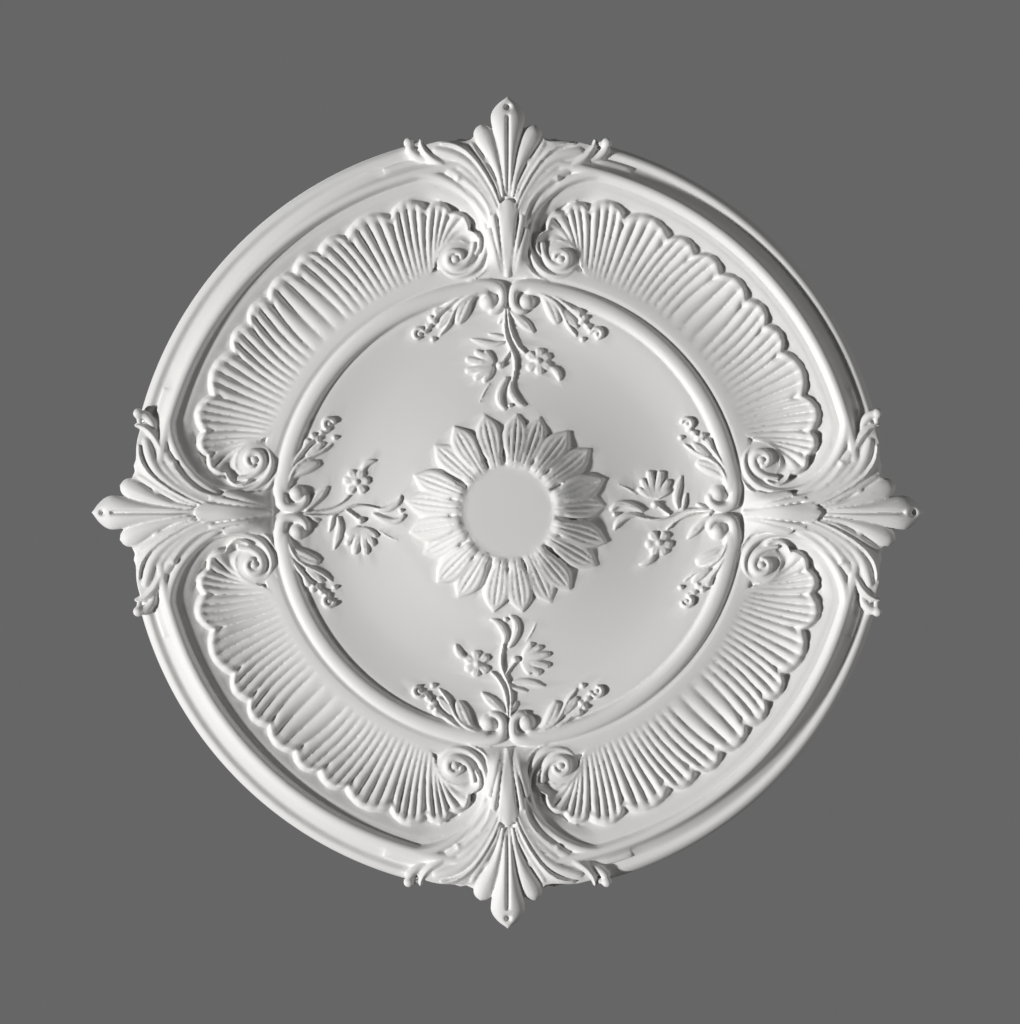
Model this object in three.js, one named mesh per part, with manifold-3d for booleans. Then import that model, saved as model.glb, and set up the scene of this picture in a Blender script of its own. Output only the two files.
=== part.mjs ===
// A ceiling rose, cast in one piece: a moulded rim, four fluted shell panels, four acanthus
// crests, an inner ring with volutes, flower sprays and a sunflower round a flat central boss.
//
// The relief is shaped face up, with x and y on the plan and z as the projection from the
// ceiling, and is turned face down at the end, so that the flat back lies on the plane z = 0.
// All sizes are in millimetres and all angles in degrees. A plan point of a crest is given as
// its distance to the right of the crest's axis and its distance out from the rose's centre.
import * as THREE from 'three';
import { mergeVertices } from 'three/addons/utils/BufferGeometryUtils.js';
import Module from 'manifold-3d';

const wasm = await Module();
wasm.setup();

// Driving dimensions
const CREST_RADIUS = 425;        // centre of the rose to the tip of each crest
const CREST_COUNT = 4;
const CREST_HEIGHT = 40;         // projection of the acanthus leaves
const SADDLE_HEIGHT = 27;        // ground between two panels, under a crest
const RIM_RADIUS = 390;          // outer wall of the round rim
const RIM_HEIGHT = 24;           // projection of the roll on the rim
const ROLL_HALF_WIDTH = 7.5;
const ROLL_RISE = 6;             // height of the roll above its springing
const BORDER_RADIUS = 359.5;     // crest line of the border round the panels
const BORDER_HEIGHT = 30;
const PANEL_RADIUS = 346;        // outer edge of the sunk panels
const PANEL_HEIGHT = 15.5;       // projection of the ground in the panels
const SHELL_FOOT_RADIUS = 252;   // where the flutes of the shells run out
const SHELL_EDGE_HEIGHT = 28;
const FLUTE_RELIEF = 2;          // ridges and hollows above and below the shell's edge
const VOLUTE_CENTRE = [49.3, 258.3];
const VOLUTE_RADIUS = 21.5;      // outside of the corner volutes
const BAND_HEIGHT = 21.5;        // smooth band between the ring and the shells
const RING_RADIUS = 232;         // middle of the inner ring
const RING_HALF_WIDTH = 8.7;
const RING_HEIGHT = 27.5;
const FIELD_LOW_RADIUS = 178;    // where the dished central field is thinnest
const FIELD_LOW_HEIGHT = 13.6;
const FIELD_BEND_RADIUS = 134;   // where the field turns up into the mound
const SPRAY_RELIEF = 5;          // height of the flower sprays above the field
const MOUND_RADIUS = 104;        // edge of the mound that carries the sunflower
const MOUND_HEIGHT = 25.5;
const PETAL_COUNT = 21;
const PETAL_TIP_RADIUS = 103.5;
const PETAL_TIP_HEIGHT = 28.5;
const PETAL_GAP_RADIUS = 82;     // where two neighbouring petals part
const PETAL_GAP_HEIGHT = 34;
const FLOWER_RIM_RADIUS = 51;    // highest line of the whole rose
const FLOWER_RIM_HEIGHT = 52;
const BOSS_RADIUS = 45;          // flat disc in the middle, where a lamp's canopy sits
const BOSS_HEIGHT = 46;
const BOSS_EDGE_HEIGHT = 50;     // where the petals meet the disc
const FLOOR = 6;                 // how deep the ornament is rooted in the body
const ROUND_SEGMENTS = 44;       // facets of the round body

const { degToRad, lerp } = THREE.MathUtils;

/** The plan point at an angle from the crest's axis, positive to its right, and a radius. */
function polar(angle, radius) {
  return [radius * Math.sin(degToRad(angle)), radius * Math.cos(degToRad(angle))];
}

/** The plan point at a reach from one point towards another. */
function between([x, y], [toX, toY], reach) {
  return [lerp(x, toX, reach), lerp(y, toY, reach)];
}

/** The value at t from 0 to 1 of a row of evenly spaced values, joined by straight lines. */
function along(values, t) {
  const place = THREE.MathUtils.clamp(t, 0, 1) * (values.length - 1);
  const step = Math.min(Math.floor(place), values.length - 2);
  return lerp(values[step], values[step + 1], place - step);
}

/** A plan point, or a list of them, mirrored from one side of a crest's axis to the other. */
function mirrored(shape) {
  if (typeof shape[0] === 'number') return [-shape[0], shape[1]];
  return shape.map(mirrored);
}

/** A manifold solid from any closed geometry, whose doubled points are merged first. */
function solidOf(geometry) {
  geometry.deleteAttribute('normal');
  geometry.deleteAttribute('uv');
  const merged = mergeVertices(geometry, 1e-4);
  const index = merged.index.array;
  const faces = [];
  for (let i = 0; i < index.length; i += 3) {
    const [a, b, c] = index.slice(i, i + 3);
    if (a !== b && b !== c && c !== a) faces.push(a, b, c);
  }
  return new wasm.Manifold(new wasm.Mesh({
    numProp: 3,
    vertProperties: new Float32Array(merged.attributes.position.array),
    triVerts: new Uint32Array(faces),
  }));
}

/** A solid from a list of points and a list of triangles over them. */
function solidFrom(points, faces) {
  const geometry = new THREE.BufferGeometry();
  geometry.setAttribute('position', new THREE.Float32BufferAttribute(points.flat(), 3));
  geometry.setIndex(faces.flat());
  return solidOf(geometry);
}

/** A solid lofted through rings with the same number of points, capped by a fan at each end. */
function loft(rings) {
  const size = rings[0].length;
  const last = (rings.length - 1) * size;
  const faces = [];
  for (let row = 0; row < last; row += size) {
    for (let i = 0; i < size; i += 1) {
      const a = row + i;
      const b = row + ((i + 1) % size);
      faces.push([a, b, b + size], [a, b + size, a + size]);
    }
  }
  for (let i = 1; i + 1 < size; i += 1) {
    faces.push([0, i + 1, i], [last, last + i, last + i + 1]);
  }
  return solidFrom(rings.flat(), faces);
}

/** A carved bar along a smooth curve on the plan, with a crown line and a flat floor. */
function bar({ path, widths, crowns, shoulder = 0, stations = path.length, floor = FLOOR }) {
  const curve = new THREE.CatmullRomCurve3(path.map(([x, y]) => new THREE.Vector3(x, y, 0)));
  const rings = [];
  for (let k = 0; k < stations; k += 1) {
    const t = k / (stations - 1);
    const point = curve.getPointAt(t);
    const tangent = curve.getTangentAt(t);
    const half = along(widths, t);
    const crown = along(crowns, t);
    const left = [point.x - tangent.y * half, point.y + tangent.x * half];
    const right = [point.x + tangent.y * half, point.y - tangent.x * half];
    const ring = [[...left, floor], [point.x, point.y, crown], [...right, floor]];
    if (shoulder > 0) {
      ring.splice(1, 0, [...left, crown - shoulder]);
      ring.splice(3, 0, [...right, crown - shoulder]);
    }
    rings.push(ring);
  }
  return loft(rings);
}

/** A button: a low drum drawn in towards its top. */
function button({ centre, radius, height, sides = 6, floor = FLOOR }) {
  const profile = [[0, floor], [radius, floor], [radius * 0.7, height], [0, height]];
  const outline = profile.map(([x, y]) => new THREE.Vector2(x, y));
  const geometry = new THREE.LatheGeometry(outline, sides).rotateX(Math.PI / 2);
  return solidOf(geometry.translate(centre[0], centre[1], 0));
}

/**
 * A carved fan: lines side by side, from right to left, that each run from a base out to a
 * tip as a row of points, with plain walls down to a floor. A closed fan goes all round.
 */
function fan(lines, { closed = false, floor = FLOOR } = {}) {
  const size = lines[0].length;
  const top = lines.flat();
  const points = [...top, ...top.map(([x, y]) => [x, y, floor])];
  const faces = [];
  const at = (i, j) => (i % lines.length) * size + j;
  const quad = (a, b, c, d) => faces.push([a, b, c], [a, c, d]);
  const wall = (a, b) => quad(b, b + top.length, a + top.length, a);
  const cells = closed ? lines.length : lines.length - 1;
  for (let i = 0; i < cells; i += 1) {
    for (let j = 0; j + 1 < size; j += 1) {
      const corners = [at(i, j), at(i, j + 1), at(i + 1, j + 1), at(i + 1, j)];
      quad(...corners);
      quad(...corners.map((corner) => corner + top.length).reverse());
    }
    wall(at(i, 0), at(i + 1, 0));
    wall(at(i + 1, size - 1), at(i, size - 1));
  }
  for (let j = 0; !closed && j + 1 < size; j += 1) {
    wall(at(0, j + 1), at(0, j));
    wall(at(cells, j), at(cells, j + 1));
  }
  return solidFrom(points, faces);
}

/** A line of a fan: a bent line from its base to its tip, with a height at each reach. */
function fanLine(base, bend, tip, reaches, heights) {
  return reaches.map((reach, j) => {
    const point = between(between(base, bend, reach), between(bend, tip, reach), reach);
    return [...point, heights[j]];
  });
}

/** A fan's lines, from right to left, from those on the right of its axis, the axis first. */
function bothHalves(lines) {
  const left = lines.slice(1).map((line) => line.map(([x, y, z]) => [-x, y, z]));
  return [...lines.slice().reverse(), ...left];
}

/** Points on an arc of a moulding's profile. */
function profileArc([middle, base], halfWidth, height, from, to, steps) {
  const points = [];
  for (let k = 0; k <= steps; k += 1) {
    const angle = degToRad(lerp(from, to, k / steps));
    points.push([middle + halfWidth * Math.cos(angle), base + height * Math.sin(angle)]);
  }
  return points;
}

/** The round body: rim roll, border, sunk panel, band, inner ring, dished field and mound. */
function roundBody() {
  const rollMiddle = [RIM_RADIUS - ROLL_HALF_WIDTH, RIM_HEIGHT - ROLL_RISE];
  const ringRise = RING_HEIGHT - BAND_HEIGHT;
  const profile = [
    [0, 0],
    [RIM_RADIUS, 0],
    ...profileArc(rollMiddle, ROLL_HALF_WIDTH, ROLL_RISE, 0, 180, 3),
    [BORDER_RADIUS, BORDER_HEIGHT],
    [PANEL_RADIUS + 2.5, PANEL_HEIGHT + 4],
    [SHELL_FOOT_RADIUS + 8, PANEL_HEIGHT - 2.5],
    [SHELL_FOOT_RADIUS + 6, BAND_HEIGHT],
    ...profileArc([RING_RADIUS, BAND_HEIGHT], RING_HALF_WIDTH, ringRise, 0, 120, 2),
    [RING_RADIUS - RING_HALF_WIDTH - 1, FIELD_LOW_HEIGHT + 2.4],
    [FIELD_LOW_RADIUS, FIELD_LOW_HEIGHT],
    [FIELD_BEND_RADIUS, fieldHeight(FIELD_BEND_RADIUS)],
    [MOUND_RADIUS, MOUND_HEIGHT],
    [FLOWER_RIM_RADIUS + 14, MOUND_HEIGHT + 6],
    [BOSS_RADIUS + 2, BOSS_HEIGHT],
    [0, BOSS_HEIGHT],
  ];
  const outline = profile.map(([radius, height]) => new THREE.Vector2(radius, height));
  return solidOf(new THREE.LatheGeometry(outline, ROUND_SEGMENTS).rotateX(Math.PI / 2));
}

/** Projection of the central field at a radius. */
function fieldHeight(radius) {
  if (radius > FIELD_LOW_RADIUS) return FIELD_LOW_HEIGHT + (radius - FIELD_LOW_RADIUS) * 0.055;
  const rise = (FIELD_LOW_RADIUS - radius) / (FIELD_LOW_RADIUS - MOUND_RADIUS);
  return lerp(FIELD_LOW_HEIGHT, MOUND_HEIGHT, rise ** 1.8);
}

// Right half of a shell, counted from its middle: the notch where each scallop of its edge
// ends, as angle and radius, the angle of the seam at the foot, the scallop's bulge and its flutes.
const SHELL_MIDDLE = 45;
const SCALLOPS = [
  { notch: [41.9, 327], foot: 39.7, bulge: 9, flutes: 1.5 },
  { notch: [36.1, 327], foot: 33.6, bulge: 9, flutes: 3 },
  { notch: [30.5, 326], foot: 28.8, bulge: 9, flutes: 2 },
  { notch: [21.6, 326], foot: 22.7, bulge: 10, flutes: 3 },
  { notch: [14.6, 320], foot: 17.5, bulge: 10, flutes: 3 },
  { notch: [8.7, 295], foot: 8.9, bulge: 13, flutes: 3 },
  { notch: [7.4, 279], foot: 5.6, bulge: 4, flutes: 1 },
];
const VOLUTE_TURN = 17.5;        // angle at which the foot of the flutes leaves the band

/** The foot of the flutes: an arc over the band, then round the outside of the corner volute. */
function shellFoot(angle) {
  if (angle >= VOLUTE_TURN) return polar(angle, SHELL_FOOT_RADIUS);
  const turned = (VOLUTE_TURN - angle) / (VOLUTE_TURN - SCALLOPS.at(-1).foot);
  const [x, y] = polar(lerp(120, -30, turned), VOLUTE_RADIUS + 1);
  return [VOLUTE_CENTRE[0] + x, VOLUTE_CENTRE[1] + y];
}

/** A point of the shell's edge between two notches, on a round scallop. */
function scallopEdge(from, to, bulge, t) {
  const [x, y] = between(from, to, t);
  const swell = bulge * Math.sin(Math.PI * t) ** 0.7 / Math.hypot(to[0] - from[0], to[1] - from[1]);
  return [x + (to[1] - from[1]) * swell, y - (to[0] - from[0]) * swell];
}

/** A fluted shell, in the panel between a crest and the next one to its right. */
function shellPanel() {
  const half = [];
  const [{ notch: [angle, radius], foot: seam }] = SCALLOPS;
  const opposite = { notch: [2 * SHELL_MIDDLE - angle, radius], foot: 2 * SHELL_MIDDLE - seam };
  SCALLOPS.forEach(({ notch, foot, bulge, flutes }, number) => {
    const before = SCALLOPS[number - 1] ?? opposite;
    const steps = number === 0 ? flutes * 4 : flutes * 2;
    const start = number === 0 ? steps / 2 : 1;
    for (let k = start; k <= steps; k += 1) {
      const t = k / steps;
      const base = shellFoot(lerp(before.foot, foot, t));
      const edge = scallopEdge(polar(...before.notch), polar(...notch), bulge, t);
      const lift = FLUTE_RELIEF * (k % 2 === 1 ? 1 : -1);
      half.push([[...base, BAND_HEIGHT - 0.3], [...edge, SHELL_EDGE_HEIGHT + lift]]);
    }
  });
  const rest = half.slice(1).map((line) => line.map(([x, y, z]) => [y, x, z]));
  return fan([...rest.reverse(), ...half]);
}

// Crest line of the border where it leaves the rim and runs down beside a crest.
const BORDER_END = [[84, 347], [60, 332], [40, 316], [28.5, 297], [25, 281], [28, 266], [34, 252]];

/** A row of plan points moved sideways by a distance, to the right of its run. */
function offset(path, distance) {
  return path.map((point, k) => {
    const [fromX, fromY] = path[Math.max(k - 1, 0)];
    const [toX, toY] = path[Math.min(k + 1, path.length - 1)];
    const length = Math.hypot(toX - fromX, toY - fromY);
    return [point[0] + (toY - fromY) / length * distance, point[1] - (toX - fromX) / length * distance];
  });
}

/** The raised ground under a crest, edged by the ends of the borders of two panels. */
function saddle() {
  const inwards = BORDER_END.slice().reverse();
  const raised = (path, height) => path.map(([x, y]) => [x, y, height]);
  return fan(bothHalves([
    raised(inwards.map(([, y]) => [0, y]), SADDLE_HEIGHT),
    raised(inwards, BORDER_HEIGHT + 1),
    raised(offset(inwards, 6), PANEL_HEIGHT + 4),
  ]));
}

/** The corner volute in which the end of a border curls up, with its eye. */
function cornerVolute(place) {
  const steps = 6;
  const path = [];
  for (let k = 0; k <= steps; k += 1) {
    const turn = k / steps;
    const [x, y] = polar(-75 - 380 * turn, lerp(VOLUTE_RADIUS - 3.5, 5.5, turn));
    path.push([VOLUTE_CENTRE[0] + x, VOLUTE_CENTRE[1] + y]);
  }
  return bar({
    path: place(path), widths: [9.5, 9, 8.5, 8, 7], stations: 9, floor: PANEL_HEIGHT - 5,
    crowns: [BORDER_HEIGHT - 2, BORDER_HEIGHT + 1, BORDER_HEIGHT + 4],
  });
}

// Lines of the acanthus crest right of its axis, as base, bend and tip, and how far the base,
// the shoulder and the tip lie below the crown: ridges of the fingers and hollows between them.
const LEAF_LINES = [
  { base: [0, 312], bend: [0, 366], tip: [0, CREST_RADIUS], drops: [1, 4, 16] },
  { base: [2, 311], bend: [13, 362], tip: [15.5, 406], drops: [3, 8, 12] },
  { base: [4, 310], bend: [11, 352], tip: [13.5, 388], drops: [4, 12, 16] },
  { base: [6, 309], bend: [14, 360], tip: [30, 401], drops: [1, 5, 12] },
  { base: [10, 306], bend: [23, 349], tip: [41, 383], drops: [4, 10, 13] },
  { base: [12, 302], bend: [33, 350], tip: [70, 386], drops: [2, 5, 10] },
  { base: [13, 299], bend: [38, 343], tip: [101, 379], drops: [2, 4, 9] },
  { base: [14, 296], bend: [38, 337], tip: [91, 368], drops: [4, 8, 10] },
  { base: [15, 293], bend: [38, 333], tip: [83, 361], drops: [3, 4, 8] },
  { base: [16, 290], bend: [37, 327], tip: [61, 355], drops: [5, 8, 9] },
  { base: [17, 287], bend: [34, 320], tip: [65, 345], drops: [4, 5, 9] },
];

// Lines of the calyx below the leaves, in the same way.
const CALYX_LINES = [
  { tip: [0, 319], drops: [11, 2, -2] },
  { tip: [7, 308], drops: [12, 5, 4] },
  { tip: [13, 303], drops: [12, 4, 2] },
  { tip: [20, 286], drops: [13, 6, 5] },
];

/** One crest: the saddle, the fan of acanthus leaves and the calyx. */
function crest() {
  const leaves = LEAF_LINES.map(({ base, bend, tip, drops }) => (
    fanLine(base, bend, tip, [0, 0.65, 1], drops.map((drop) => CREST_HEIGHT - drop))
  ));
  const calyx = CALYX_LINES.map(({ tip, drops }, number) => {
    const base = [number * 2.2, 238];
    const bend = [tip[0] * 1.05, lerp(base[1], tip[1], 0.55)];
    return fanLine(base, bend, tip, [0, 0.6, 1], drops.map((drop) => CREST_HEIGHT - drop));
  });
  return [saddle(), fan(bothHalves(leaves), { floor: 0 }), fan(bothHalves(calyx))];
}

/** Half of the ring's end at a crest: the ring curls in round a ball eye. */
function ringVolute(place) {
  const path = [[24, 229.5], [9, 226], [4.5, 214], [12, 204]];
  return [
    bar({
      path: place(path), widths: [7.5, 5, 4.5, 4.5], shoulder: 3,
      crowns: [RING_HEIGHT - 1, RING_HEIGHT + 1, RING_HEIGHT - 1],
    }),
    button({ centre: place([18, 213]), radius: 11, height: RING_HEIGHT + 1 }),
  ];
}

/** A ridge of low relief that lies on the dished field. */
function fieldRidge(path, widths) {
  const grounds = path.map(([x, y]) => fieldHeight(Math.hypot(x, y)));
  const crowns = grounds.map((ground) => ground + SPRAY_RELIEF);
  return bar({ path, widths, crowns, floor: Math.min(...grounds) - 2 });
}

/** A leafy sprig beside the ring, one on each side of every crest. */
function sprig(place) {
  return fieldRidge(place([[30, 223], [60, 209], [90, 181]]), [6, 10, 5]);
}

/** A small open flower: round petals about a button, as a star of few points. */
function flower(centre, radius, petals) {
  const ground = fieldHeight(Math.hypot(...centre));
  const star = (reach, notch, height) => {
    const ring = [];
    for (let k = 0; k < petals * 2; k += 1) {
      const [x, y] = polar(-180 * k / petals, radius * (k % 2 === 0 ? reach : notch));
      ring.push([centre[0] + x, centre[1] + y, height]);
    }
    return ring;
  };
  return loft([
    star(1, 0.62, FLOOR), star(1, 0.62, ground + 4.5), star(0.3, 0.3, ground + 7),
  ]);
}

/** A spray with two flowers, the same way round at every crest. */
function spray() {
  return [
    fieldRidge([[-2, 208], [3, 172], [9, 152], [4, 134]], [3, 3.5, 3.5, 3]),
    fieldRidge([[4, 140], [-5, 122], [-5, 107]], [3, 4, 1]),
    fieldRidge([[4, 182], [14, 166], [28, 158]], [2, 3, 2]),
    fieldRidge([[3, 205], [15, 195], [26, 185]], [1, 6, 1]),
    fieldRidge([[-3, 172], [-18, 170], [-38, 175]], [2, 4, 1]),
    flower([33.5, 155], 16.5, 5),
    flower([-27.5, 148], 15.5, 5),
  ];
}

/** The sunflower: petals that fall from the rim round the boss to the edge of the mound. */
function sunflower() {
  const lines = [];
  for (let k = 0; k < PETAL_COUNT * 2; k += 1) {
    const petal = k % 2 === 0;
    const points = petal
      ? [[FLOWER_RIM_RADIUS, FLOWER_RIM_HEIGHT], [PETAL_TIP_RADIUS, PETAL_TIP_HEIGHT]]
      : [[FLOWER_RIM_RADIUS, BOSS_EDGE_HEIGHT], [PETAL_GAP_RADIUS, PETAL_GAP_HEIGHT]];
    const line = [[BOSS_RADIUS, BOSS_EDGE_HEIGHT], ...points];
    lines.push(line.map(([radius, height]) => [...polar(-180 * k / PETAL_COUNT, radius), height]));
  }
  return fan(lines, { closed: true });
}

/** The whole casting as one solid. */
function casting() {
  const sides = [(shape) => shape, mirrored];
  const quarter = [
    shellPanel(),
    ...sides.map(cornerVolute),
    ...crest(),
    ...sides.flatMap(ringVolute),
    ...sides.map(sprig),
    ...spray(),
  ];
  let rose = roundBody().add(sunflower());
  for (let number = 0; number < CREST_COUNT; number += 1) {
    for (const solid of quarter) {
      rose = rose.add(solid.rotate([0, 0, -number * 360 / CREST_COUNT]));
    }
  }
  return rose;
}

/** A three.js mesh of a solid, turned face down about the x axis. */
function faceDown(name, solid, material) {
  const { vertProperties, triVerts } = solid.getMesh();
  const positions = vertProperties.map((value, place) => (place % 3 === 0 ? value : -value));
  const geometry = new THREE.BufferGeometry();
  geometry.setAttribute('position', new THREE.BufferAttribute(positions, 3));
  geometry.setIndex(new THREE.BufferAttribute(triVerts, 1));
  geometry.computeVertexNormals();
  const mesh = new THREE.Mesh(geometry, material);
  mesh.name = name;
  return mesh;
}

const plaster = new THREE.MeshStandardMaterial({ color: 0xe8e7e3, roughness: 0.85, metalness: 0 });

const group = new THREE.Group();
group.add(faceDown('ceiling_rose', casting(), plaster));

export default group;
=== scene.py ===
"""Looks of a cast ceiling rose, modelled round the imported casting.

The relief is shaped face up, in millimetres: x and y on the plan, with y along the axis of a
crest, and h as the projection from the ceiling. place() turns it face down, in metres, so that
the flat back lies on z = 0. Each ornament is a closed block that reaches down into the body. The
blocks of one quarter are copied to the four crests, and the casting is fused from all of them.
"""

import math

import bpy
import numpy as np
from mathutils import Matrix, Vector


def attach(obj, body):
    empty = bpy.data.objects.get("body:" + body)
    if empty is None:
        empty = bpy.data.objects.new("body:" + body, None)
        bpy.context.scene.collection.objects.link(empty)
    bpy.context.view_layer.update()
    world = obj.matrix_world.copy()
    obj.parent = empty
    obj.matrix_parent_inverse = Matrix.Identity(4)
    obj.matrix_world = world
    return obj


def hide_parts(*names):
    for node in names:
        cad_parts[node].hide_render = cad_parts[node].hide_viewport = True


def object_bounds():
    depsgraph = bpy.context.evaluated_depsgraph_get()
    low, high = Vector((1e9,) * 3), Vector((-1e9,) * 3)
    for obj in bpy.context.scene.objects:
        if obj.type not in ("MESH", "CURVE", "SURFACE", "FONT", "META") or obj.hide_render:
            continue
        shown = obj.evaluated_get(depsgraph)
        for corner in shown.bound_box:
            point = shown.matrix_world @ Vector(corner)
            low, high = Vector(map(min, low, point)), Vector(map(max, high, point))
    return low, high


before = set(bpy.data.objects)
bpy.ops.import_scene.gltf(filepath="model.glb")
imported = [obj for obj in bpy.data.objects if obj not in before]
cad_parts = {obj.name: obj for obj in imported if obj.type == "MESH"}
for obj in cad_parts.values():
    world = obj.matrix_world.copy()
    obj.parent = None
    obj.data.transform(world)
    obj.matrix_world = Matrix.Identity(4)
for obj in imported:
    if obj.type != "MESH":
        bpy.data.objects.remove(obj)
CAD_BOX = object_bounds()

bl_info = {
    "name": "Ceiling Rose",
    "version": (1, 0, 0),
    "blender": (4, 5, 0),
    "location": "View3D > Sidebar > Rose",
    "description": "Models a cast ceiling rose with shells, acanthus crests and a sunflower",
    "category": "Object",
}

MM = 0.001
QUARTERS = 4
LOW, HIGH = CAD_BOX
HALF_SPAN = (HIGH.x - LOW.x) / 2

# Carving tables, in millimetres, with angles in degrees from a crest's axis

# Heights of the undersides of the carved blocks: in the body, of a crest, and of the petals.
FLOOR = 6
CREST_FLOOR = 0
PETAL_FLOOR = 20
# A stroke's least half width and least length of its blunt end, the spacing of the points along
# it and their number across it, and how far its edges lie below its crown in low relief.
THINNEST = 0.3
LEAST_BLUNT = 0.8
SPACING = 1.5
ACROSS = 13
LOW_DEPTH = 5.5
# Points across the fans of a crest, along its leaf and calyx, across other sheets, along a shell
# and a saddle, and along a petal.
FAN_ACROSS = 161
LEAF_ALONG = 40
CALYX_ALONG = 60
SHEET_ACROSS = 41
SHEET_ALONG = 60
PETAL_ALONG = 56

# One half of a shell, from its middle towards a crest: the notch at the end of each scallop as
# angle and radius, the angle of the seam at its foot, its bulge and its number of flutes.
SHELL_MIDDLE = 45
SCALLOPS = [
    ((41.9, 329), 39.7, 10.5, 1.5),
    ((36.3, 328), 33.6, 11, 3),
    ((30.6, 327), 28.8, 10.5, 3),
    ((21.6, 326), 22.7, 14, 4),
    ((14.8, 323), 17.5, 14, 4),
    ((10.6, 313), 12.8, 8.5, 3),
    ((7.6, 291), 8.8, 8, 2),
    ((7.2, 263), 5.6, 9.5, 1),
]
# The radius at which the flutes start. Beside the volute they start elsewhere: the angle of the
# seam, the place of its foot, and the first direction of the flute.
SHELL_FOOT = 252
SHELL_FEET = [(26, 110.5, 226.5, 26), (22, 94.6, 233.6, 20), (18, 82, 241, 12),
              (15.4, 75.4, 250, 3), (13, 72.6, 260, -8), (10.6, 67.6, 269.6, -20),
              (8.8, 60.4, 275.6, -32), (7.2, 50, 278.2, -46), (5.6, 39.6, 273.6, -62)]
# Level of the shell along a flute, from its foot to the edge, and how deep the flute is cut.
SHELL_LEVELS = [21.3, 20.2, 19.3, 18.6, 18.2, 18.1, 18.4, 19, 20, 21.6, 24, 26.4, 19]
SHELL_DEPTHS = [0, 1.1, 2.1, 2.8, 3.2, 3.5, 3.8, 4.2, 4.8, 5.2, 4.2, 1.4, 0.3]
# Flutes shorter than this are cut less deep. Each has this many steps across it.
FULL_FLUTE = 46
FLUTE_STEPS = 9
# Where along a flute the notches between the scallops dip, and how deep.
NOTCH_PLACE = 0.86
NOTCH_DIP = 3.2

# Crest line of the border where it leaves the rim and runs down beside a crest into its
# volute, with the share of its full width there, and its height.
BORDER_END = [(122, 336), (106, 341.5), (93, 345), (81, 344.3), (68.5, 340.5), (56, 334.5),
              (43, 325), (32.5, 313.5), (26, 301.5), (22.8, 288.5), (22, 275.5), (24.4, 263),
              (30, 252.5), (39, 244.8), (50, 241.2), (60.5, 243.2), (67.5, 249.5), (70.5, 258)]
BORDER_WIDTHS = [1, 1, 0.98, 0.94, 0.88, 0.82, 0.74, 0.66, 0.58, 0.5, 0.46, 0.44, 0.46, 0.48,
                 0.48, 0.42, 0.3, 0.14]
BORDER_CROWNS = [32, 32, 32, 32, 31.8, 31.6, 31.2, 30.6, 29.8, 29, 28.2, 27.6, 27, 26.4, 26,
                 25, 22.6, 19]
BORDER_SPACING = 1.6
# Section of the border: the distance from its crest line towards the shell, and the height.
BORDER_PROFILE = [(-16, -10.4), (-12, -9.2), (-9.6, -8), (-8, -6), (-6.6, -4.6), (-5, -2.4),
                  (-3.6, -1), (-2, -0.2), (0, 0), (1.7, -0.3), (3, -1.2), (4.2, -2.7),
                  (5.2, -4.7), (6, -6.5), (6.8, -7.5), (7.8, -7.7), (8.8, -7.2), (9.8, -7.4),
                  (10.6, -8.4), (11.4, -8.1), (13, -8.2), (16.5, -9.1), (20, -10.5), (24, -12)]

# The ground of a crest between the two ends of the border: its edge on the right, the height
# along the edge, and how far the middle swells above it.
SADDLE_EDGE = [(62, 338), (48, 329), (37, 317), (29, 303), (24, 288), (22, 275), (24, 262),
               (27, 250), (27, 240)]
SADDLE_HEIGHTS = [26, 27, 27.5, 27.5, 26.5, 25.5, 24, 22, 20]
SADDLE_SWELLS = [0, 1, 2, 3, 3.4, 3.4, 3, 2, 0]

# The spear in the middle of a crest, as radius, half width and height of its crown.
SPEAR = [
    (318, 2.6, 37), (328, 4.2, 38), (340, 6.2, 38.4), (352, 8, 38.2), (364, 9.8, 37.8),
    (376, 12, 37.2), (388, 14.6, 36.4), (398, 17, 35), (405, 17.6, 33), (411, 15.4, 30.5),
    (416.5, 11.4, 28), (421, 6.6, 25.5), (425, 0.4, 22),
]
# How far the spear stands above its edges, the depth of its groove and the radius at which the
# groove ends, and the depth and radius of the pit in its tip.
SPEAR_RISE = 8.5
GROOVE_DEPTH = 4.2
GROOVE_END = 406
PIT_DEPTH = 7
PIT_RADIUS = 413.5

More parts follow.
